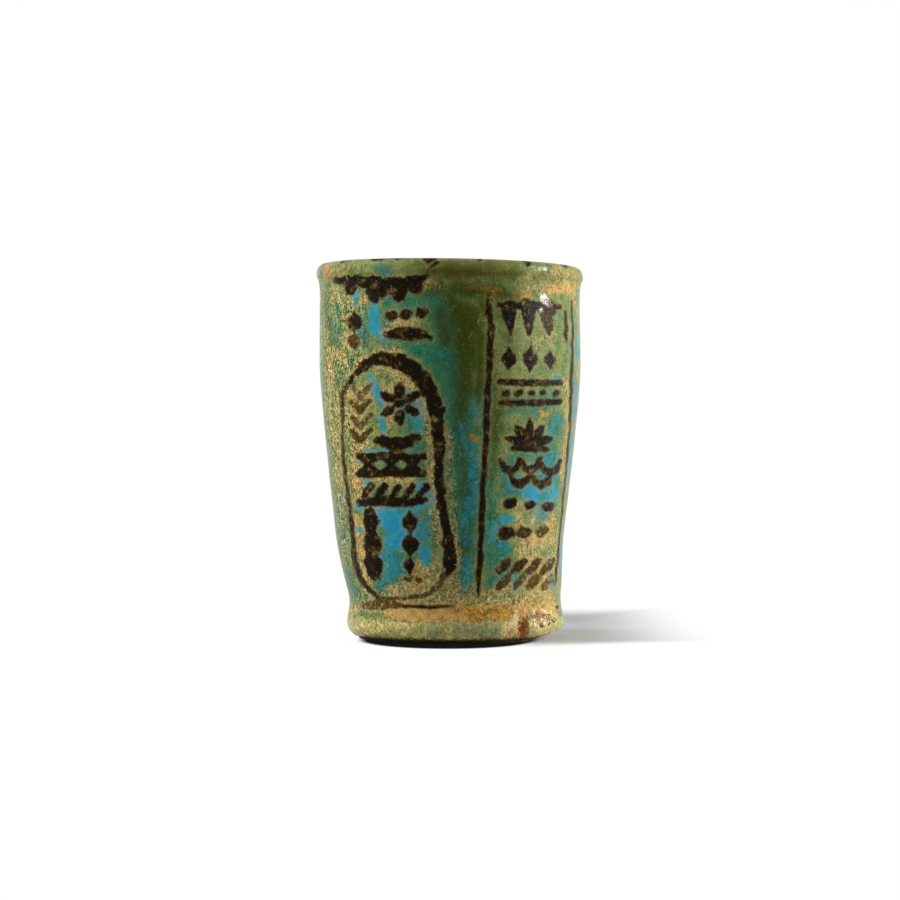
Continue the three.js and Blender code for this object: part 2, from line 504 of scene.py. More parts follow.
def lattice(x0, x1, y0, y1, columns, half, wear=USUAL_WEAR):
    """A band of crossed strokes between two lines."""
    bar(x0, y0, x1, y0 + 1, half * 1.2, wear)
    bar(x0 + 1, y1, x1 - 1, y1, half * 1.3, wear)
    step = (x1 - x0) / columns
    for i in range(columns):
        left, right = x0 + i * step, x0 + (i + 1) * step
        bar(left, y0, right, y1, half, wear)
        bar(right, y0, left, y1, half, wear)


def rosette(x, y, petals, start, length, half, wear=USUAL_WEAR):
    for i in range(petals):
        turn = 360 / petals * i
        away = math.radians(turn)
        petal(x + start * math.sin(away), y - start * math.cos(away), length, half, turn, wear)


def lozenge(x, y, half, wear=USUAL_WEAR):
    """A filled diamond, drawn from its top corner to its bottom one."""
    paint([(x, y - half * 1.05, 0.8), (x, y, half * 0.72), (x, y + half * 1.05, 0.8)], wear)


# Medallion frame, from its thick top round the right side, along the worn bottom and up the left
sweep([(349, 382, 3), (360, 369, 4.4), (373, 361, 6), (386, 359, 7), (400, 362, 7.4), (413, 370, 8),
       (424, 382, 8), (432, 396, 7.4), (436, 412, 6.6), (438, 432, 5.8), (439, 458, 5.4),
       (440, 486, 5.2), (444, 514, 5.2), (448, 542, 6), (449, 562, 6.4), (447, 574, 4.4)], 0.1)
sweep([(446, 572, 3), (441, 581, 3.4), (434, 589, 3.2), (426, 595, 1.8)], 0.47)
sweep([(426, 595, 2.2), (417, 597, 2.6), (404, 598, 2), (390, 599, 1.8), (377, 596, 2)], 0.42)
sweep([(377, 596, 2.4), (367, 587, 3), (359, 573, 3.4), (355, 556, 3.2), (353, 535, 2.8),
       (350, 508, 2.4), (347, 484, 2), (344, 460, 2)], 0.25)
sweep([(344, 460, 2.4), (343, 444, 2), (342, 420, 1.9), (342, 398, 2.6), (344, 390, 2.6),
       (349, 382, 2.6)], 0.36)
paint([(438, 418, 4.5), (442, 413, 3.2), (445, 408, 1.8)], 0.1)
sweep([(364, 606, 3), (376, 605, 5), (390, 604, 4.6), (402, 605, 2.6)], 0.46)
sweep([(396, 606, 1.8), (414, 607, 2), (434, 607, 1.9), (452, 606, 1.5)], 0.2)

# Petal border under the lip, upper left, with lozenges, dots and a leaf below it
sweep([(336, 280, 3.6), (352, 280, 5), (374, 283, 5.6), (398, 283, 6), (416, 279, 5),
       (427, 276, 2.6)], 0.12)
for x, length, half, turn in ((352, 12, 8, 188), (376, 20, 11, 182), (398, 20, 11, 176), (415, 11, 7, 170)):
    petal(x, 280, length, half, turn, 0.14)
lozenge(354, 322, 10, 0.2)
lozenge(354, 341, 8, 0.4)
for x, y in ((391, 316), (407, 314), (423, 313)):
    dot(x, y, 5.6, 0.26)
paint([(386, 335, 3), (396, 334, 6), (410, 334, 7.5), (422, 335, 5.6), (430, 337, 2.4)], 0.14)

# Inside the medallion: a rosette with worn chevrons, a lattice, slanted strokes, buds and lozenges
rosette(400, 404, 6, 7, 14, 5.4)
dot(400, 404, 4.4)
for i, wear in enumerate((0.5, 0.42, 0.48, 0.4)):
    paint([(351, 386 + i * 15, 2.4), (360, 396 + i * 15, 4), (370, 385 + i * 15, 2.6)], wear)
sweep([(378, 440, 5), (398, 444, 7.5), (419, 437, 4)], 0.14)
lattice(358, 424, 456, 474, 3, 3.4, 0.12)
for i in range(5):
    bar(363 + i * 14, 497, 371 + i * 14, 486, 4.2, 0.12)
sweep([(360, 503, 3.6), (384, 501, 5.4), (408, 503, 5), (425, 500, 3)], 0.1)
for x, y, half in ((374, 577, 9), (373, 555, 9.5), (371, 534, 8.5)):
    petal(x, y, 25, half, -3, 0.14)
for y, half in ((522, 12), (545, 11), (566, 9)):
    lozenge(410, y, half, 0.14)
bar(404, 579, 420, 581, 3.6, 0.4)

# Fine marks running down from the rim
paint([(438, 262, 2.2), (432, 266, 1.8), (427, 272, 1.4)], 0.3)
paint([(433, 264, 1.6), (434, 273, 1.2)], 0.45)
paint([(347, 264, 1.2), (345, 270, 1)], 0.4)

# Border lines of the right-hand column
sweep([(490, 294, 2), (488.8, 308, 3.5), (491.3, 328, 3.6), (490.4, 348, 3.4), (489, 372, 3.2),
       (486.9, 410, 3), (485, 450, 3.1), (483, 490, 3.3), (481.2, 530, 3), (479.8, 565, 3.2),
       (478.7, 597, 1.8)], 0.12)
sweep([(571.5, 301, 1.4), (573, 334, 2), (571.5, 381, 2.3), (570, 420, 2.1), (568, 450, 2.1),
       (565, 480, 2), (562, 515, 2.1), (559, 552, 2.2), (555.5, 584, 1.6)], 0.16)
sweep([(565.5, 311, 1.8), (566.5, 326, 2.4), (566, 341, 1.6)], 0.3)

# Teeth, lozenges, beads, fan of leaves, scales, dots and slanted strokes down the right-hand column
bar(499, 305, 559, 307, 4.2)
for x, wear in ((509, 0.12), (528, 0.15), (547, 0.34)):
    paint([(x, 308, 8.6), (x + 0.6, 317, 7), (x + 1.4, 327, 4.4), (x + 2, 335, 1.4)], wear)
for x, half in ((509, 11), (530, 12), (550, 9)):
    lozenge(x, 359, half, 0.14)
bar(500, 382, 560, 383, 4, 0.13)
bar(501, 403, 560, 402, 4.2)
for x in (506, 519, 531, 543, 555):
    dot(x, 393, 3.6, 0.2)
for turn in (-76, -38, 0, 38, 76):
    petal(529, 444, 24, 5.6, turn)
bar(512, 449, 546, 449, 3.4, 0.16)
for x, y in ((510, 460), (530, 459), (550, 461), (520, 474), (541, 474)):
    paint([(x - 10, y, 2.4), (x - 6, y + 8, 3.8), (x, y + 11, 4.4), (x + 6, y + 8, 3.8),
           (x + 10, y, 2.4)], 0.24)
for x, y, half, wear in (
    (511, 503, 7, 0.12), (530, 505, 5.4, 0.2), (549, 507, 5.6, 0.2),
    (507, 533, 7, 0.16), (525, 533, 6, 0.34), (543, 531, 6, 0.42),
):
    dot(x, y, half, wear)
for row, wear in ((567, 0.3), (583, 0.4)):
    for i in range(4):
        bar(499 + i * 15, row + 4, 509 + i * 15, row - 6, 4.6, wear + 0.03 * i)
dot(557, 607, 2.4, 0.4)

# Dabs over the rim: turn from the front in degrees, how far they reach outside and inside the
# crown, and half width, in millimetres
RIM_DABS = (
    (-52, 1.2, 1.0, 0.5), (-33, 0.5, 1.4, 1.3), (-24, 0.3, 1.6, 1.2), (-8, 0.9, 1.8, 1.3),
    (14, 1.0, 1.4, 0.6), (19, 0.4, 1.6, 0.8), (36, 1.3, 1.5, 0.9), (62, 1.0, 1.2, 0.8),
    (86, 0.6, 1.6, 1.1), (104, 1.2, 1.2, 0.7), (127, 0.5, 1.5, 1.3), (151, 1.1, 1.6, 0.9),
    (176, 0.4, 1.3, 1.2), (-158, 1.0, 1.5, 0.8), (-136, 0.6, 1.6, 1.2), (-113, 1.1, 1.1, 0.7),
    (-90, 0.5, 1.5, 1.0), (-72, 0.9, 1.2, 0.8),
)

# Paint along the crown of the rim: where it starts and ends, in degrees from the front
RIM_LINES = (
    (-53, -27), (-23, 13), (22, 31), (41, 55), (70, 93), (112, 121), (134, 158), (-172, -163),
    (-150, -128), (-107, -96), (-84, -62),
)
RIM_LINE_HALF = 0.36
RIM_LINE_DROP = 0.25


def rim_line(start, end):
    turns = np.radians(np.linspace(start, end, 6))
    along = np.full(len(turns), CROWN_ALONG - RIM_LINE_DROP)
    return np.column_stack([on_sheet(turns, along), np.full(len(turns), RIM_LINE_HALF)])


def rim_stroke(turn, out, back, half):
    turns = np.radians([turn - 1.2, turn, turn + 1])
    along = CROWN_ALONG + np.array([-out, 0, back])
    return np.column_stack([on_sheet(turns, along), [half * 0.7, half, half * 0.8]])


# The glaze's own colours, and painted shade along the neck under the lip, as zones of strokes in pixels of
# the photograph with half widths
BLUE_POOLS = (
    [(355, 288, 4), (356, 296, 4), (356, 303, 2)],
    [(375, 306, 4), (374, 318, 5.5), (375, 330, 5), (381, 336, 3)],
    [(368, 375, 2.5), (373, 384, 5), (380, 397, 6.5), (384, 404, 4)],
    [(383, 406, 3), (382, 418, 3.6), (384, 430, 3), (384, 439, 2.4)],
    [(366, 451, 4), (378, 456, 5), (388, 450, 4)],
    [(358, 456, 3), (358, 463, 2.5)],
    [(367, 483, 4.5), (370, 486, 4)],
    [(416, 484, 4), (424, 489, 8), (431, 498, 5), (433, 506, 3)],
    [(356, 504, 4), (362, 508, 4)],
    [(378, 509, 6), (388, 518, 13), (400, 525, 15), (408, 532, 11), (394, 542, 10)],
    [(355, 528, 3), (360, 529, 4)],
    [(404, 508, 5), (418, 506, 5), (432, 502, 4)],
    [(418, 546, 5), (424, 554, 7), (426, 563, 4)],
    [(527, 488, 5), (534, 495, 9), (531, 504, 5)],
    [(503, 519, 4), (511, 519, 4)],
    [(551, 484, 3), (556, 492, 4), (552, 500, 3)],
    [(495, 526, 2.4), (493, 538, 2)],
    [(515, 574, 2), (515, 583, 3), (517, 590, 3.5)],
    [(550, 562, 2), (551, 575, 2.5), (552, 589, 2.2)],
    [(556, 377, 3), (559, 378, 3)],
    [(419, 396, 2.4), (421, 411, 4), (418, 428, 3.4)],
)
TEAL = (
    [(385, 297, 7), (408, 302, 12), (430, 300, 14), (444, 310, 12)],
    [(440, 318, 12), (450, 345, 16), (452, 380, 14), (460, 420, 16), (463, 470, 18), (463, 520, 17),
     (463, 560, 13), (463, 590, 6)],
    [(376, 310, 6), (390, 326, 9), (404, 345, 10), (430, 350, 14), (440, 372, 10)],
    [(350, 312, 5), (353, 340, 5)],
    [(362, 316, 4), (363, 345, 5)],
    [(336, 300, 4), (339, 330, 4)],
    [(408, 398, 11), (413, 420, 14), (417, 445, 12), (420, 470, 8), (430, 500, 6), (432, 530, 6)],
    [(380, 466, 6), (405, 470, 8)],
    [(372, 484, 5), (402, 487, 5)],
    [(376, 498, 10), (400, 520, 20), (404, 548, 20), (392, 572, 13), (378, 586, 6)],
    [(340, 492, 3), (343, 520, 4), (346, 545, 3)],
    [(348, 575, 5), (352, 592, 8)],
    [(486, 380, 8), (486, 430, 8), (487, 470, 8), (488, 520, 8), (492, 560, 9), (495, 590, 6)],
    [(505, 402, 8), (530, 406, 9), (551, 400, 8)],
    [(557, 420, 8), (547, 450, 11), (552, 482, 10)],
    [(520, 452, 9), (508, 472, 11), (514, 490, 10)],
    [(538, 446, 8), (545, 466, 12), (540, 486, 12)],
    [(500, 520, 9), (503, 555, 10), (500, 585, 8)],
    [(545, 505, 8), (533, 490, 12)],
    [(378, 268, 5), (385, 271, 7), (391, 273, 4)],
    [(432, 622, 3), (433, 634, 4)],
    [(461, 622, 2.5)],
    [(476, 628, 6), (493, 631, 6)],
)
# Deeper olive glaze; the strokes along the neck just under the lip are painted shade
DEEP_OLIVE_AND_NECK_SHADE = (
    [(448, 296, 8), (464, 316, 17), (468, 350, 16), (465, 385, 10), (460, 415, 5), (466, 470, 4),
     (464, 560, 4)],
    [(440, 312, 6), (448, 340, 8)],
    [(325, 300, 3), (329, 345, 3)],
    [(500, 312, 5), (512, 348, 4)],
    [(425, 272, 5), (455, 272, 9), (492, 272, 8), (512, 276, 6)],
    [(420, 290, 4), (440, 290, 8)],
    [(455, 290, 9), (480, 292, 12), (500, 293, 11), (512, 296, 7)],
    [(484, 300, 9), (486, 312, 7)],
    [(479, 330, 11), (482, 365, 10), (480, 400, 6)],
    [(495, 330, 2), (495, 375, 5), (496, 410, 7), (494, 450, 6), (492, 478, 1)],
    [(476, 428, 0.5)],
)
SKY = (
    [(578, 336, 4), (578, 360, 6)],
    [(576, 388, 6), (574, 412, 5)],
    [(573, 436, 6), (571, 462, 8), (569, 478, 6)],
    [(568, 500, 8), (565, 526, 7)],
    [(562, 548, 6), (560, 575, 4)],
    [(540, 455, 5), (549, 480, 9), (546, 500, 10), (540, 515, 6)],
    [(545, 438, 4), (557, 424, 4)],
    [(472, 405, 2), (474, 430, 3)],
    [(472, 452, 3), (474, 480, 5), (472, 502, 5), (466, 520, 3)],
    [(485, 395, 3), (487, 413, 4)],
    [(488, 446, 2)],
    [(460, 424, 3), (463, 440, 3)],
    [(463, 516, 3), (465, 538, 3)],
    [(469, 562, 3), (470, 588, 3)],
    [(420, 505, 6), (404, 530, 14), (372, 512, 6)],
    [(386, 556, 11), (396, 572, 9), (380, 586, 5)],
    [(424, 522, 6), (429, 545, 5)],
    [(408, 396, 7), (414, 410, 9), (416, 426, 6)],
    [(376, 300, 4), (384, 340, 4)],
    [(503, 526, 3), (504, 560, 4), (501, 585, 4)],
    [(530, 500, 8), (548, 503, 6)],
    [(509, 470, 4), (516, 486, 7), (524, 492, 8)],
    [(545, 452, 5), (556, 470, 6)],
    [(341, 500, 2), (345, 540, 2)],
    [(352, 325, 3), (364, 335, 2)],
    [(493, 530, 3), (495, 540, 2)],
    [(384, 268, 3), (386, 272, 4)],
)
TAN = (
    [(321, 280, 3), (323, 300, 2), (326, 340, 3), (329, 370, 7), (332, 405, 7), (335, 440, 6),
     (338, 480, 4), (343, 530, 4), (346, 560, 3)],
    [(333, 292, 3), (334, 312, 3)],
    [(342, 297, 3), (344, 322, 2)],
    [(350, 304, 2), (347, 345, 5)],
    [(364, 298, 3), (361, 308, 2)],
    [(338, 352, 7), (350, 368, 7), (372, 358, 5), (396, 350, 4)],
    [(366, 384, 4), (367, 404, 4)],
    [(350, 392, 6), (354, 420, 8), (360, 445, 8), (356, 468, 6)],
    [(378, 372, 4), (396, 373, 5), (412, 386, 4), (421, 402, 3), (428, 425, 2.4), (431, 460, 3),
     (433, 500, 3), (437, 540, 4)],
    [(388, 384, 3), (388, 430, 3)],
    [(386, 330, 3), (398, 322, 3), (412, 322, 2)],
    [(355, 470, 6), (360, 492, 6), (352, 500, 4)],
    [(378, 478, 5), (400, 480, 5), (412, 482, 3)],
    [(368, 507, 2), (380, 505, 2)],
    [(360, 522, 4), (362, 545, 5), (363, 570, 6), (368, 588, 5)],
    [(392, 590, 6), (415, 582, 8), (428, 584, 6), (421, 562, 4)],
    [(432, 560, 5), (436, 580, 5)],
    [(448, 430, 2), (451, 470, 2), (454, 520, 3), (456, 560, 4), (452, 590, 8)],
    [(470, 592, 5), (485, 597, 5), (505, 590, 7)],
    [(330, 272, 6), (345, 274, 3)],
    [(404, 281, 2), (425, 284, 2.5), (440, 286, 2)],
    [(524, 291, 3), (536, 288, 5), (560, 285, 8), (577, 284, 7)],
    [(528, 276, 4), (545, 274, 7), (560, 272, 8), (574, 274, 8)],
    [(574, 290, 5), (576, 302, 4)],
    [(540, 342, 4), (553, 334, 3)],
    [(567, 380, 1), (565, 440, 1.5), (562, 480, 1.5)],
    [(520, 506, 3), (521, 526, 3)],
    [(532, 515, 4), (533, 523, 3)],
    [(528, 545, 9), (542, 540, 9)],
    [(553, 518, 5), (553, 545, 6), (556, 572, 3)],
    [(522, 550, 6), (532, 560, 10), (544, 568, 8), (535, 592, 12), (551, 597, 8)],
    [(345, 612, 8), (370, 606, 6), (400, 603, 6), (440, 598, 6), (480, 603, 7), (520, 600, 9),
     (552, 604, 9)],
    [(390, 626, 6), (405, 632, 5)],
    [(340, 578, 4), (346, 600, 6)],
)
OCHRE = (
    [(388, 613, 6), (420, 614, 8), (450, 614, 10), (480, 616, 9), (505, 614, 8), (530, 609, 6),
     (552, 609, 5)],
    [(404, 280, 2), (425, 284, 2), (440, 287, 2)],
    [(456, 287, 1.1), (480, 287, 1.2), (500, 290, 1.3)],
    [(452, 274, 1.6), (470, 275, 1.6)],
    [(517, 294, 3), (530, 295, 3.5)],
    [(548, 291, 3), (566, 291, 2.5), (577, 288, 2)],
    [(357, 472, 5), (358, 486, 4)],
    [(356, 518, 3), (358, 536, 3)],
    [(473, 438, 4.4)],
    [(543, 414, 3.8)],
    [(364, 552, 3), (366, 577, 4)],
    [(415, 566, 3), (417, 585, 4)],
    [(326, 268, 5), (327, 278, 3)],
    [(362, 300, 2)],
    [(330, 360, 2)],
    [(538, 540, 4), (550, 525, 3)],
)
WARM = (
    [(345, 612, 6), (384, 613, 8), (425, 615, 8), (448, 616, 4)],
    [(524, 604, 7), (552, 603, 8)],
    [(530, 512, 9), (541, 540, 12), (536, 566, 14), (540, 590, 14)],
    [(515, 292, 4), (540, 286, 8), (572, 284, 8)],
    [(336, 470, 4), (356, 480, 5), (360, 530, 5), (364, 570, 6)],
    [(322, 275, 6), (322, 300, 4)],
)
BARED = (
    [(516, 611, 2), (515, 621, 3.6), (512, 634, 4.4)],
    [(506, 624, 2), (505, 632, 3)],
    [(528, 609, 1.6), (534, 612, 2.4), (541, 611, 3), (551, 613, 2.4), (557, 617, 1.6)],
    [(534, 629, 1.6), (545, 628, 1.8)],
)
STAINED = (
    [(521, 612, 2), (523, 622, 4), (521, 634, 4)],
    [(528, 608, 1.5), (531, 614, 2)],
    [(538, 613, 3), (544, 616, 2)],
)
GLINTS = (
    [(544, 298, 4), (550, 304, 3.4)],
    [(533, 267, 1.6)], [(539, 270, 1.4)], [(545, 268, 1.8)],
    [(553, 270, 1.6)], [(561, 269, 2)], [(567, 273, 1.4)],
    [(527, 305, 1.2)], [(541, 310, 1.4)],
)

# Each soft zone's strokes, and how many millimetres each side its edge takes
ZONES = {
    "teal": (TEAL, 1.9), "deep": (DEEP_OLIVE_AND_NECK_SHADE, 3.0), "sky": (SKY, 2.0), "tan": (TAN, 1.5),
    "ochre": (OCHRE, 0.9), "warm": (WARM, 2.2), "stained": (STAINED, 0.3), "glint": (GLINTS, 0.25),
}

# Half width in millimetres from which a stroke's edge is as ragged as it gets
BROAD_BRUSH = 0.9

# Turns from the front, in degrees, over which the placed zones give way to scattered ones, and over
# which the streaks of the left side set in
UNSEEN_TURNS = (76, 104)
STREAKED_TURNS = (-28, -46)

# Millimetres along the outer line over which the foot and the band of ochre above it set in, and
# the same from the crown for the lip and for the wear below it
FOOT_FADE = (4.3, 2.6)
BAND_FADE = (10.5, 3.5)
LIP_FADE = (-5.2, -3.4)
WORN_FADE = (-6, -2)

# Depths below the glaze's surface over which a face turns from glaze to a broken edge
BROKEN_FADE = (0.04, 0.12)


def depth_in(zone, places):
    return inside([seen_stroke(stroke) for stroke in zone], places)[0]


def cloud(points, size, seed):
    """Slow noise from 0 to 1 at points in millimetres."""
    shift = Vector((seed, 0, 0))
    return np.array([0.5 + 0.5 * noise.fractal(Vector(p) / size + shift, 1, 2, 3) for p in points])


def on_outer_line(points):
    """How far along the outer line each turned point is, and how far from it."""
    tree = KDTree(len(DENSE_LINE))
    for i, (r, z) in enumerate(DENSE_LINE):
        tree.insert((r, z, 0), i)
    tree.balance()
    radius = np.hypot(points[:, 0], points[:, 1])
    nearest = [tree.find((r, z, 0)) for r, z in zip(radius, points[:, 2])]
    return DENSE_ALONG[[n[1] for n in nearest]], np.array([n[2] for n in nearest])


def lay_colours(mesh):
    """Writes the ornament and the colour zones on the turned outer glaze as attributes."""
    points = points_of(mesh)
    turn = np.arctan2(points[:, 0], -points[:, 1])
    along, depth = on_outer_line(points)
    places = on_sheet(turn, along)

    brushed = [seen_stroke(stroke) for stroke in strokes]
    brushed += [rim_stroke(*dab) for dab in RIM_DABS] + [rim_line(*ends) for ends in RIM_LINES]
    wears = worn + [USUAL_WEAR] * (len(brushed) - len(worn))
    painted, owner = inside(brushed, places)
    broad = [stroke[:, 2].mean() for stroke in brushed]

    unseen = smoothstep(np.abs(turn), *np.radians(UNSEEN_TURNS))
    patch = cloud(points, size=9, seed=11)
    streak = cloud(points * [1, 1, 0.3], size=3.2, seed=23)
    pool = cloud(points * [1, 1, 0.45], size=3.2, seed=41)
    band = smoothstep(along, *BAND_FADE)
    rim = smoothstep(along - CROWN_ALONG, *WORN_FADE)
    scattered = {
        "teal": 1.9 * patch - 0.45,
        "deep": 2.2 * (1 - patch) - 1.2,
        "sky": 2 * streak - 1.15,
        "tan": 1.6 * streak - 0.55 + band + 0.5 * rim,
        "ochre": band * (0.4 + patch),
        "warm": band + 0.4 * rim,
    }
    scattered_pools = np.clip((pool - 0.79 + 0.9 * (patch - 0.5)) * 7, -FAR, FAR)
    streaked = 0.15 + 0.75 * smoothstep(turn, *np.radians(STREAKED_TURNS))

    laid = {
        "paint": painted,
        "wear": np.array([*wears, 0.0])[owner],
        "brush": np.clip(np.array([*broad, 1.0])[owner] / BROAD_BRUSH, 0.3, 1),
        "blue": between(depth_in(BLUE_POOLS, places), scattered_pools, unseen),
        "bared": between(depth_in(BARED, places), -FAR, unseen),
        "runs": between(streaked, 0.5, unseen),
        "foot": smoothstep(along, *FOOT_FADE),
        "lip": smoothstep(along - CROWN_ALONG, *LIP_FADE),
        "broken": smoothstep(depth, *BROKEN_FADE),
    }
    for name, (zone, softness) in ZONES.items():
        cover = smoothstep(depth_in(zone, places), -softness, softness)
        laid[name] = between(cover, np.clip(scattered.get(name, 0.0), 0, 1), unseen)
    for name, values in laid.items():
        made = mesh.attributes.new(name, "FLOAT", "POINT")
        made.data.foreach_set("value", np.asarray(values, np.float32))
    return turn, along, depth


# The outer glaze's own picture map, which gives the painted front the most room
MAP_TURNS = np.radians([-180, -76, 80, 180])
MAP_SHARES = [0, 0.18, 0.82, 1]
MAP_HIDDEN = 0.03
MAP_HIDDEN_FILL = 0.9


def whole_numbers(items, name):
    values = np.zeros(len(items), int)
    items.foreach_get(name, values)
    return values


def unwrap(mesh, turn, along, depth):
    uv = mesh.uv_layers.get("OFBake") or mesh.uv_layers.new(name="OFBake")
    corners = whole_numbers(mesh.loops, "vertex_index")
    starts = whole_numbers(mesh.polygons, "loop_start")
    totals = whole_numbers(mesh.polygons, "loop_total")
    first = np.repeat(turn[corners[starts]], totals)
    turns = turn[corners]
    turns = turns + 2 * math.pi * np.round((first - turns) / (2 * math.pi))
    hidden = np.repeat(depth[corners[starts]] > OUTER_GLAZE / 2, totals)
    across = np.interp(np.clip(turns, -math.pi, math.pi), MAP_TURNS, MAP_SHARES)
    share = along[corners] / SKIN_LENGTH
    up = np.where(hidden, MAP_HIDDEN * share * MAP_HIDDEN_FILL, between(MAP_HIDDEN, 1, share))
    uv.data.foreach_set("uv", np.column_stack([across, up]).astype(np.float32).ravel())


# Shader making


def linear(colour):
    """A colour of three parts, as a screen shows it from 0 to 255, in the values that shaders take."""
    if isinstance(colour, Value) or len(colour) == 4:
        return colour
    shares = np.array(colour) / 255
    parts = np.where(shares <= 0.04045, shares / 12.92, ((shares + 0.055) / 1.055) ** 2.4)
    return (*parts, 1.0)


def grey(level):
    return (level, level, level, 1.0)


class Value:
    """An output of a node, with the arithmetic, easing and mixing that the materials are made of."""

    def __init__(self, tree, socket):
        self.tree, self.socket = tree, socket

    def maths(self, operation, first, second):
        return node(self.tree, "ShaderNodeMath", {0: first, 1: second}, operation=operation)

    def __add__(self, other):
        return self.maths("ADD", self, other)

    def __radd__(self, other):
        return self.maths("ADD", other, self)

    def __sub__(self, other):
        return self.maths("SUBTRACT", self, other)

    def __rsub__(self, other):
        return self.maths("SUBTRACT", other, self)

    def __mul__(self, other):
        return self.maths("MULTIPLY", self, other)

    def most(self, *others):
        largest = self
        for other in others:
            largest = self.maths("MAXIMUM", largest, other)
        return largest

    def ease(self, low, high, to_low=0.0, to_high=1.0):
        inputs = {0: self, 1: low, 2: high, 3: to_low, 4: to_high}
        return node(self.tree, "ShaderNodeMapRange", inputs, interpolation_type="SMOOTHSTEP")

    def mix(self, first, second):
        """Goes from the first colour to the second as this value goes from 0 to 1."""
        inputs = {0: self, 6: linear(first), 7: linear(second)}
        return node(self.tree, "ShaderNodeMix", inputs, 2, data_type="RGBA")

    def shaded(self, by):
        """This colour multiplied by a value or a colour."""
        inputs = {0: 1.0, 6: self, 7: by}
        return node(self.tree, "ShaderNodeMix", inputs, 2, data_type="RGBA", blend_type="MULTIPLY")

    def bump(self, strength):
        """The normal that this height in millimetres makes."""
        inputs = {"Strength": strength, "Distance": MM, "Height": self}
        return node(self.tree, "ShaderNodeBump", inputs)

    def part(self, axis):
        return node(self.tree, "ShaderNodeSeparateXYZ", {0: self}, axis)

    def vector(self, operation, other=(0, 0, 0), output=0):
        return node(self.tree, "ShaderNodeVectorMath", {0: self, 1: other}, output, operation=operation)

    def stretched(self, *scale):
        return self.vector("MULTIPLY", scale)

    def away(self, other=(0, 0, 0)):
        """How far this place is from another."""
        return self.vector("DISTANCE", other, 1)

    def grain(self, size, detail=3, roughness=0.6):
        """Noise from 0 to 1 whose grains are about that many millimetres across."""
        inputs = {"Vector": self, "Scale": 1 / (size * MM), "Detail": detail, "Roughness": roughness}
        return node(self.tree, "ShaderNodeTexNoise", inputs)


def weighed(start, *pairs):
    """A value plus each other value, less a half, times its weight."""
    for value, weight in pairs:
        start = start + (value - 0.5) * weight
    return start


def feed(tree, sockets, inputs):
    """Links or sets sockets by name or number."""
    for key, value in inputs.items():
        if isinstance(value, Value):
            tree.links.new(value.socket, sockets[key])
        else:
            sockets[key].default_value = value


def values_of(made, tree):
    return {socket.name: Value(tree, socket) for socket in made.outputs}


def node(tree, kind, inputs=None, output=0, **settings):
    """Adds a node, feeds it and gives back one output."""
    made = tree.nodes.new(kind)
    for name, value in settings.items():
        setattr(made, name, value)
    feed(tree, made.inputs, inputs or {})
    return Value(tree, made.outputs[output]) if made.outputs else None


def object_place(tree):
    return node(tree, "ShaderNodeTexCoord", output=3)


def new_group(name, inputs):
    """A shader group's tree and its inputs, which are numbers and are given with their defaults."""
    tree = bpy.data.node_groups.new(name, "ShaderNodeTree")
    for title, value in inputs.items():
        socket = tree.interface.new_socket(title, in_out="INPUT", socket_type="NodeSocketFloat")
        socket.default_value = value
    return tree, values_of(tree.nodes.new("NodeGroupInput"), tree)


def finish_group(tree, outputs):
    for title in outputs:
        kind = "NodeSocketColor" if title == "Color" else "NodeSocketFloat"
        tree.interface.new_socket(title, in_out="OUTPUT", socket_type=kind)
    feed(tree, tree.nodes.new("NodeGroupOutput").inputs, outputs)
    return tree


def use_group(tree, group, inputs):
    made = tree.nodes.new("ShaderNodeGroup")
    made.node_tree = group
    feed(tree, made.inputs, inputs)
    return values_of(made, tree)


def new_material(name):
    material = bpy.data.materials.new(name)
    material.use_nodes = True
    return material, material.node_tree


def finish_material(material, inputs):
    """Feeds the material's Principled shader."""
    tree = material.node_tree
    feed(tree, tree.nodes["Principled BSDF"].inputs, inputs)
    return material


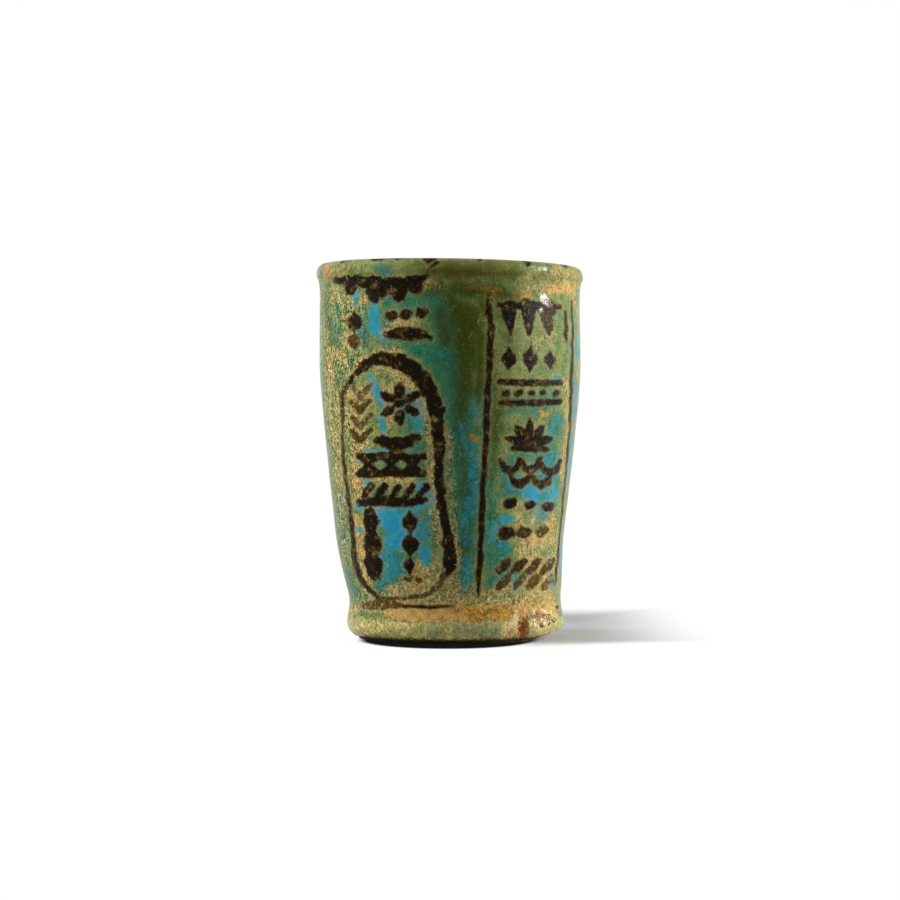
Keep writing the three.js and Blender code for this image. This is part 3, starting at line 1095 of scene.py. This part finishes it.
def glaze_group():
    """Body colour of the glaze: green where it is thick, paler where thin, eroded to speckled tan."""
    tree, given = new_group("glaze_colours", {
        "Teal": 0.5, "Deep": 0.0, "Sky": 0.0, "Tan": 0.3, "Ochre": 0.0, "Runs": 0.3, "Warm": 0.0,
    })
    place = object_place(tree)
    drawn = place.stretched(1, 1, 0.8)
    fine = drawn.grain(0.46)
    speck = place.grain(0.3, 1, 0.5)
    medium = drawn.grain(1.5)
    patch = place.grain(1.7)
    blotch = place.grain(4.2, 3, 0.55)
    streak = place.stretched(1, 1, 0.2).grain(0.5)
    mottle = place.stretched(1, 1, 0.5).grain(1.9, 4, 0.65)
    crumb = place.stretched(1, 1, 1.3).grain(0.9, 3, 0.7)

    runs = weighed(0, (streak, 2.9), (mottle, 1.8)) * given["Runs"]
    green = weighed(given["Teal"], (blotch, 0.9), (medium, 0.8), (fine, 1.1)) - runs
    pale = patch.ease(0.38, 0.62).mix((98, 126, 72), (138, 142, 86))
    teal = patch.ease(0.35, 0.65).mix((36, 110, 88), (66, 122, 86))
    colour = green.ease(0.1, 0.9).mix(pale, teal)
    # Deeper olive, which is painted shade where the deep zone runs along the neck under the lip
    deeper = weighed(given["Deep"], (blotch, 0.6), (medium, 0.5), (fine, 0.3))
    colour = deeper.ease(0.1, 0.95).mix(colour, (60, 72, 12))
    bluer = weighed(given["Sky"], (mottle, 2.0), (medium, 1.3), (fine, 0.7))
    bluer = bluer.ease(0.25, 0.9, 0, 0.85) * given["Sky"].ease(0, 0.25)
    colour = bluer.mix(colour, (44, 136, 146))

    # Erosion to tan in flecks and streaks, closer together where it has gone further
    flecks = weighed(0, (fine, 1.6), (medium, 1.7), (speck, 0.6)) + runs
    flecks = given["Tan"] + flecks * given["Tan"].ease(0, 0.8, 0.4, 1)
    worn = given["Runs"].mix(flecks.ease(0.15, 1.25), flecks.ease(0.38, 1.06))
    sand = patch.ease(0.38, 0.6).mix((142, 132, 74), (182, 160, 100))
    warmer = patch.ease(0.38, 0.6).mix((164, 134, 74), (204, 176, 114))
    sand = given["Warm"].mix(sand, warmer)
    sand = speck.ease(0.54, 0.7, 0, 0.35).mix(sand, (206, 190, 140))
    sand = weighed(fine, (speck, 0.9)).ease(0.42, 0.28, 0, 0.5).mix(sand, (118, 86, 44))
    colour = worn.mix(colour, sand)
    dark = weighed(0, (streak, 2.6), (medium, 1.2), (speck, 1.2))
    dark = dark.ease(-0.2, -0.55, 0, 0.95) * given["Runs"]
    colour = dark.mix(colour, (58, 64, 30))

    # Ochre in crumbs, paler where it is warm and browner in the deep zone
    rust = weighed(0, (crumb, 1.9), (patch, 2.0), (speck, 0.3))
    rust = given["Ochre"] + rust * given["Ochre"].ease(0, 0.5)
    orange = crumb.ease(0.36, 0.6).mix((136, 92, 24), (198, 148, 66))
    orange = medium.ease(0.5, 0.66, 0, 0.8).mix(orange, (202, 174, 110))
    orange = (given["Warm"] * 0.45).mix(orange, (226, 186, 122))
    orange = given["Deep"].ease(0.05, 0.6, 0, 0.85).mix(orange, (100, 76, 16))
    colour = rust.ease(0.15, 0.85, 0, 0.94).mix(colour, orange)
    return finish_group(tree, {"Color": colour, "Worn": worn, "Fine": fine, "Speck": speck})


def ragged_group():
    """A crisp cover with a broken edge, from a distance inside in millimetres."""
    tree, given = new_group("ragged_edge", {"Distance": 0.0, "Break": 0.4, "Edge": 0.1})
    place = object_place(tree)
    breaks = weighed(0, (place.grain(0.4, 2), 0.4), (place.grain(1.1, 2, 0.5), 1.0))
    moved = given["Distance"] + breaks * given["Break"]
    return finish_group(tree, {"Cover": moved.ease(given["Edge"] * -1, given["Edge"])})


def outer_glaze_material(glaze, ragged):
    """The painted outside: body colours, blue pools, dark ornament and bare breaks."""
    material, tree = new_material("painted_green_glaze")
    place = object_place(tree)
    names = ["paint", "wear", "brush", "blue", "bared", "runs", "foot", "lip", "broken", *ZONES]
    laid = {name: node(tree, "ShaderNodeAttribute", output=2, attribute_name=name) for name in names}
    inputs = ("Teal", "Deep", "Sky", "Tan", "Ochre", "Runs", "Warm")
    body = use_group(tree, glaze, {name: laid[name.lower()] for name in inputs})
    colour, worn, fine = body["Color"], body["Worn"], body["Fine"]
    grit = place.grain(0.24, 2)
    drift = place.grain(1.3)

    def crisp(distance, breaks, edge):
        return use_group(tree, ragged, {"Distance": distance, "Break": breaks, "Edge": edge})["Cover"]

    # Crisp turquoise where the glaze pooled, with a tan line of erosion round it
    bank = crisp(laid["blue"] + 0.35, 1.9, 0.35) * laid["tan"].ease(0.1, 0.7, 0.08, 0.5)
    colour = bank.mix(colour, (176, 160, 98))
    pool = crisp(laid["blue"], 1.6, drift.ease(0.38, 0.6, 0.14, 0.44))
    inner = weighed(laid["blue"], (drift, 1.6), (fine, 1.0))
    turquoise = inner.ease(-0.1, 0.9).mix((52, 140, 132), (32, 142, 178))
    turquoise = drift.ease(0.42, 0.66, 0, 0.6).mix(turquoise, (60, 160, 166))
    turquoise = grit.ease(0.54, 0.76, 0, 0.5).mix(turquoise, (84, 140, 112))
    colour = pool.mix(colour, turquoise)

    # Pale halo where the glaze drew back from the paint, stronger where it is eroded
    halo = crisp(laid["paint"] + 0.5, 1.9, 0.35) * laid["tan"].ease(0, 0.7, 0.15, 0.75)
    edging = grit.ease(0.38, 0.6).mix((150, 128, 66), (196, 176, 116))
    colour = halo.mix(colour, edging)

    # Brush strokes: near black, rusty at the edge and where thin, broken by wear
    left = weighed(1 - laid["wear"], (grit, 0.6), (drift, 1.3), (fine, 0.9))
    cover = crisp(laid["paint"], laid["brush"] * 1.2, 0.2) * left.ease(0.26, 0.6)
    thin = weighed(laid["wear"], (drift, 2.6), (grit, 0.5), (fine, 0.9))
    brown = thin.ease(0.12, 0.66).mix((18, 12, 0), (84, 58, 18))
    border = weighed(laid["paint"], (fine, 1.4)).ease(0.2, -0.1, 0, 0.7)
    brown = border.mix(brown, (88, 60, 22))
    brown = laid["wear"].ease(0.42, 0.66).mix(brown, (100, 82, 52))
    colour = cover.mix(colour, brown)

    # Lip: thicker olive glaze, with ochre and teal showing through
    olive = drift.ease(0.35, 0.62).mix((104, 122, 62), (146, 146, 86))
    olive = laid["deep"].mix(olive, (80, 74, 0))
    kept = (1 - laid["ochre"].most(laid["teal"])) * laid["tan"].ease(0.2, 1, 1, 0.25)
    lip_share = weighed(laid["lip"], (fine, 0.7), (drift, 1.1)).ease(0.2, 0.95, 0, 0.85)
    colour = (lip_share * kept * (1 - cover)).mix(colour, olive)

    # Foot: back to a thin olive below the ochre, with cream and dark teal specks, and painted shade low
    # down
    pale = drift.ease(0.4, 0.58).mix((220, 196, 126), (170, 166, 102))
    pale = grit.ease(0.56, 0.74, 0, 0.5).mix(pale, (220, 200, 146))
    pale = fine.ease(0.4, 0.3, 0, 0.5).mix(pale, (110, 112, 68))
    pale = (laid["teal"] * 0.6).mix(pale, (64, 116, 104))
    foot = weighed(laid["foot"], (fine, 0.9), (drift, 2.0))
    colour = foot.ease(0.2, 0.95, 0, 0.9).mix(colour, pale)
    # Painted shade: the glaze darkens to near black below about a millimetre up, where the foot meets the
    # floor
    level = weighed(place.part(2), (fine, 0.7 * MM))
    colour = level.ease(0.00105, 0.0005, 0, 0.8).mix(colour, (24, 22, 10))

    # Grit all over, strongest where the glaze is eroded, on the streaked side and on the foot
    rough = laid["tan"].most(laid["runs"], laid["foot"])
    calm = laid["warm"].most(laid["foot"], laid["lip"])
    gritty = weighed(0, (fine, 2.0), (body["Speck"], 2.2)) * rough.ease(0, 0.8, 0.5, 1)
    gritty = gritty * laid["runs"].ease(0.5, 0.9, 1, 1.6) * calm.ease(0, 0.9, 1, 0.6)
    colour = colour.shaded(gritty * (1 - pool) + 1)

    # Paste that shows where the glaze broke off, and the rusty stains beside it
    paste = grit.ease(0.35, 0.62).mix((184, 142, 82), (236, 216, 162))
    paste = drift.ease(0.4, 0.3, 0, 0.5).mix(paste, (132, 88, 44))
    rusty = grit.ease(0.38, 0.62).mix((128, 78, 34), (192, 132, 70))
    stained = weighed(laid["stained"], (grit, 0.9), (drift, 0.8)).ease(0.3, 0.7, 0, 0.9)
    bare = laid["broken"].most(crisp(laid["bared"], 1.6, 0.25), stained)
    colour = bare.mix(colour, stained.mix(paste, rusty))

    height = weighed(worn * -0.05, (grit, 0.09), (drift, 0.08), (fine, 0.09))
    height = height + cover * 0.02 - pool * 0.012 - bare * 0.06
    return finish_material(material, {
        "Base Color": colour,
        "Roughness": weighed(worn.ease(0.1, 0.9, 0.2, 0.68), (grit, 0.25)),
        "Normal": height.bump(0.8),
        "Coat Weight": laid["glint"] * grit.ease(0.4, 0.55),
        "Coat Roughness": 0.15,
        "Specular IOR Level": 0.05,
    })


def inner_glaze_material(glaze):
    """The hollow: a turquoise glaze that darkens as it pools, worn near the mouth."""
    material, tree = new_material("pooled_turquoise_glaze")
    place = object_place(tree)
    level = place.part(2)
    drift = place.stretched(1, 1, 0.4).grain(5, 3, 0.55)
    grit = place.grain(0.3, 2)
    teal = drift.ease(0.3, 0.6, 0.5, 1)
    tan = level.ease(0.050, 0.0585) * 0.5 + drift.ease(0.5, 0.75, 0, 0.4)
    body = use_group(tree, glaze, {"Teal": teal, "Deep": 0.1, "Sky": 0.55, "Tan": tan, "Runs": 0.4})
    pooled = level.ease(0.014, 0.0065) * 0.7
    height = weighed(body["Worn"] * -0.03, (grit, 0.05), (drift, 0.1))
    return finish_material(material, {
        "Base Color": pooled.mix(body["Color"], (26, 92, 96)),
        "Roughness": body["Worn"].ease(0.1, 0.9, 0.3, 0.68),
        "Normal": height.bump(0.8),
        "Specular IOR Level": 0.2,
    })


def foot_edge(turn):
    """The place on the foot's edge, on the floor, at a turn in degrees from the front."""
    turn = math.radians(turn)
    return (FOOT_RADIUS * math.sin(turn) * MM, -FOOT_RADIUS * math.cos(turn) * MM, 0)


def paste_material():
    """Fired quartz paste: sandy, with pale grains and brown stains, and painted shade at the standing edge.
    """
    material, tree = new_material("quartz_paste")
    place = object_place(tree)
    sand = place.grain(0.35, 3, 0.65)
    stain = place.grain(1.4)
    patch = place.grain(5, 2, 0.5)
    colour = stain.ease(0.35, 0.65).mix((164, 102, 44), (198, 160, 102))
    colour = patch.ease(0.4, 0.7, 0, 0.7).mix(colour, (204, 186, 144))
    colour = sand.ease(0.58, 0.72).mix(colour, (234, 222, 192))
    colour = sand.ease(0.42, 0.3, 0, 0.7).mix(colour, (96, 62, 34))

    # Cleaner round the flake and rustier round the notch
    flat = place.stretched(1, 1, 0)
    clean = sand.ease(0.38, 0.6).mix((196, 144, 86), (240, 222, 178))
    colour = flat.away(foot_edge(FLAKE[0])).ease(0.0046, 0.0030, 0, 0.75).mix(colour, clean)
    rusty = sand.ease(0.36, 0.6).mix((156, 96, 40), (218, 156, 88))
    colour = flat.away(foot_edge(NOTCH[0])).ease(0.0030, 0.0014, 0, 0.85).mix(colour, rusty)
    # Painted shade: the paste darkens low down near the standing edge, where the floor's shadow falls
    level = weighed(place.part(2), (sand, MM))
    painted_edge_shade = level.ease(0.0011, 0.0005) * flat.away().ease(0.0135, 0.015, 0, 0.9)
    colour = painted_edge_shade.mix(colour, (44, 34, 22))
    height = weighed(0, (sand, 0.16), (stain, 0.2))
    return finish_material(material, {
        "Base Color": colour, "Roughness": 0.9, "Normal": height.bump(0.9),
    })


def grain_material():
    """Clean quartz grains that catch the light in the break."""
    material, tree = new_material("quartz_grains")
    cloudy = object_place(tree).grain(0.3, 2, 0.5)
    return finish_material(material, {
        "Base Color": cloudy.ease(0.35, 0.65).mix((208, 186, 140), (238, 228, 204)),
        "Roughness": cloudy.ease(0.3, 0.7, 0.25, 0.5),
    })


# Pieces

ALL_SECTORS = FRONT_SECTORS + BACK_SECTORS
SKIN_ARCS = ((SECTOR, FRONT_COLUMNS, FRONT_SECTORS), (SECTOR, BACK_COLUMNS, BACK_SECTORS))

# The faces between the paste and its glazes
OUTER_FACE = set_in(outer_line(HIDDEN_STEPS, HIDDEN_LIP_STEPS), OUTER_GLAZE)
INNER_FACE = inner_line(HIDDEN_STEPS)
INNER_FACE = set_in(INNER_FACE, inner_depths(len(INNER_FACE)))
INNER_FACE[-1, 0] = 0


def finished(mesh, name, material):
    """The piece of a turned mesh: moved to where the hand left it, in metres and smoothly shaded."""
    set_points(mesh, by_hand(points_of(mesh)) * MM)
    mesh.polygons.foreach_set("use_smooth", [True] * len(mesh.polygons))
    mesh.set_sharp_from_angle(angle=SHARP_ANGLE)
    return placed(mesh, name, material)


def make_outer_glaze(material):
    line = np.concatenate([evenly(DENSE_LINE, SKIN_STEP), OUTER_FACE[::-1]])
    mesh = chipped(turned(line, SKIN_ARCS, "outer_glaze_skin", closed=True, start=FRONT_START))
    unwrap(mesh, *lay_colours(mesh))
    return finished(mesh, "outer_glaze_skin", material)


def make_paste_body(material):
    stand = evenly(np.array([(0, 0), (STAND_RADIUS, 0)]), STAND_STEP)
    foot = evenly(np.concatenate([stand[-1:], OUTER_FACE[:1]]), STAND_STEP / 2)
    line = np.concatenate([stand, foot[1:-1], OUTER_FACE, INNER_FACE[1:]])
    mesh = chipped(turned(line, [(SECTOR, BODY_COLUMNS, ALL_SECTORS)], "paste_core_body"))
    return finished(mesh, "paste_core_body", material)


def make_inner_glaze(material):
    shown = evenly(inner_line(CURVE_STEPS), INNER_STEP)
    line = np.concatenate([shown[::-1], INNER_FACE])
    mesh = turned(line, [(SECTOR, INNER_COLUMNS, ALL_SECTORS)], "inner_glaze_skin")
    return finished(mesh, "inner_glaze_skin", material)


# Grains in the chip: how many, the points of each, the radii, turns in degrees and heights that they
# lie between, how deep they sit in their own radius, and how much smaller they are on unbroken glaze
GRAIN_COUNT = 13
GRAIN_POINTS = 42
GRAIN_RADII = (0.18, 0.4)
GRAIN_TURNS = (43, 60)
GRAIN_BAND = (2.5, 3.7)
GRAIN_SEAT = 0.35
GRAIN_SHRINK = 0.6
UNBROKEN_RADIUS = 1.002 * (FOOT_RADIUS - OUTER_GLAZE)
RAY_START = 1.2


def make_grains(body, material):
    """Pale grains seated in the face of the break."""
    picks = random.Random(5)
    face = BVHTree.FromObject(body, bpy.context.evaluated_depsgraph_get())
    bm = bmesh.new()
    while len(bm.verts) < GRAIN_COUNT * GRAIN_POINTS:
        turn = math.radians(picks.uniform(*GRAIN_TURNS))
        height = picks.uniform(*GRAIN_BAND) * MM
        outward = Vector((math.sin(turn), -math.cos(turn), 0))
        start = outward * FOOT_RADIUS * RAY_START * MM
        start.z = height
        hit, normal, _, _ = face.ray_cast(start, -outward)
        size = picks.uniform(*GRAIN_RADII) * MM
        if hit is None:
            continue
        if math.hypot(hit.x, hit.y) > UNBROKEN_RADIUS * MM:
            size *= GRAIN_SHRINK
        shape = Matrix.Diagonal([*(picks.uniform(0.7, most) for most in (1.2, 1.2, 1.1)), 1])
        spin = Matrix.Rotation(picks.uniform(0, math.pi), 4, normal)
        seat = Matrix.Translation(hit - normal * size * GRAIN_SEAT)
        bmesh.ops.create_icosphere(bm, subdivisions=2, radius=size, matrix=seat @ spin @ shape)
    return placed(mesh_of(bm, "chip_grains"), "chip_grains", material)


glaze = glaze_group()
outer_skin = make_outer_glaze(outer_glaze_material(glaze, ragged_group()))
paste_body = make_paste_body(paste_material())
inner_skin = make_inner_glaze(inner_glaze_material(glaze))
grains = make_grains(paste_body, grain_material())

for piece, cad_node, slot in (
    (outer_skin, "outer_glaze", "outer_glaze"),
    (paste_body, "paste_core", "quartz_paste"),
    (inner_skin, "inner_glaze", "inner_glaze"),
):
    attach(piece, "root")
    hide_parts(cad_node)
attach(grains, "root")


# Stage, light and camera, in metres

FLOOR_HALF = 6
# Centre of the ellipse within which the floor's contact shadow is painted
CONTACT_SHADOW_CENTRE = (-0.0013, -0.006, 0)
WORLD_LIGHT = 0.11

# Place, width, height and power
LIGHTS = {
    "left": ((-0.44, -0.09, 0.36), 0.36, 0.26, 3.5),
    "right": ((0.50, -0.01, 0.20), 0.11, 0.30, 3.4),
}


def seen_rays(tree):
    """1 for rays from the camera, also those that glossy and clear surfaces send on."""
    path = values_of(tree.nodes.new("ShaderNodeLightPath"), tree)
    return path["Is Camera Ray"].most(path["Is Transmission Ray"], path["Is Glossy Ray"])


def make_floor():
    """A pale floor that keeps the cup's shadow, adds painted shade behind the cup and a painted contact
    shadow, and fades to white away from it.
    """
    material, tree = new_material("pale_floor")
    tree.nodes.clear()
    place = object_place(tree)
    across, behind = place.part(0), place.part(1)
    seen = seen_rays(tree)

    # White to the right and left of the shadow, behind it, and before it on both sides of a slant
    away = across.ease(0.019, 0.043).most(across.ease(-0.004, -0.018), behind.ease(0.05, 0.085))
    before = behind.ease(-0.008, -0.018) * across.ease(0.013, 0.009)
    slanted = (behind - across * 0.56).ease(-0.0225, -0.0325)
    away = away.most(before, slanted) * seen

    # A painted contact shadow: black where ambient occlusion is low, within an ellipse that reaches a
    # little forward of the foot
    contact = place.vector("SUBTRACT", CONTACT_SHADOW_CENTRE).stretched(1, 0.66, 1)
    open_air = node(tree, "ShaderNodeAmbientOcclusion", {"Distance": 0.02}, 1, samples=8)
    open_air = open_air.ease(0.9, 0.99, 0.008, 1)
    painted_contact_shadow = contact.away().ease(0.0148, 0.0130).mix(grey(1), open_air)

    # Painted shade: the floor is darker behind the cup than in front of it, and darkened again by the
    # painted contact shadow
    painted_floor_shade = behind.ease(0.012, 0.048).mix(grey(0.68), grey(0.40)).shaded(painted_contact_shadow)
    near = node(tree, "ShaderNodeBsdfDiffuse", {"Color": seen.mix(grey(0.45), painted_floor_shade)})
    white = node(tree, "ShaderNodeEmission", {"Color": painted_contact_shadow, "Strength": 1.0})
    both = node(tree, "ShaderNodeMixShader", {0: away, 1: near, 2: white})
    node(tree, "ShaderNodeOutputMaterial", {"Surface": both})
    bm = bmesh.new()
    bmesh.ops.create_grid(bm, x_segments=1, y_segments=1, size=FLOOR_HALF)
    floor = placed(mesh_of(bm, "floor"), "floor", material)


def make_world():
    """Soft neutral light all round, and a white background where it is seen."""
    world = bpy.data.worlds.new("studio")
    bpy.context.scene.world = world
    world.use_nodes = True
    tree = world.node_tree
    tree.nodes.clear()
    strength = seen_rays(tree).mix(grey(WORLD_LIGHT), grey(1))
    sky = node(tree, "ShaderNodeBackground", {"Color": strength, "Strength": 1.0})
    node(tree, "ShaderNodeOutputWorld", {"Surface": sky})


def make_light(name, place, width, height, power):
    """A soft light, turned to the cup's middle."""
    data = bpy.data.lights.new(name, "AREA")
    data.shape = "RECTANGLE"
    data.size = width
    data.size_y = height
    data.energy = power
    aim = Vector((0, 0, CAMERA_HEIGHT * MM)) - Vector(place)
    made = added(name, data)
    made.location = place
    made.rotation_euler = aim.to_track_quat("-Z", "Y").to_euler()


def make_camera():
    data = bpy.data.cameras.new("camera")
    data.lens = LENS
    data.sensor_width = SENSOR
    made = added("camera", data)
    made.location = Vector((CAMERA_X, -CAMERA_DISTANCE, CAMERA_HEIGHT)) * MM
    made.rotation_euler = (math.pi / 2, 0, 0)
    bpy.context.scene.camera = made


make_floor()
make_world()
for light, settings in LIGHTS.items():
    make_light(light, *settings)
make_camera()
bpy.context.scene.view_settings.view_transform = "Standard"
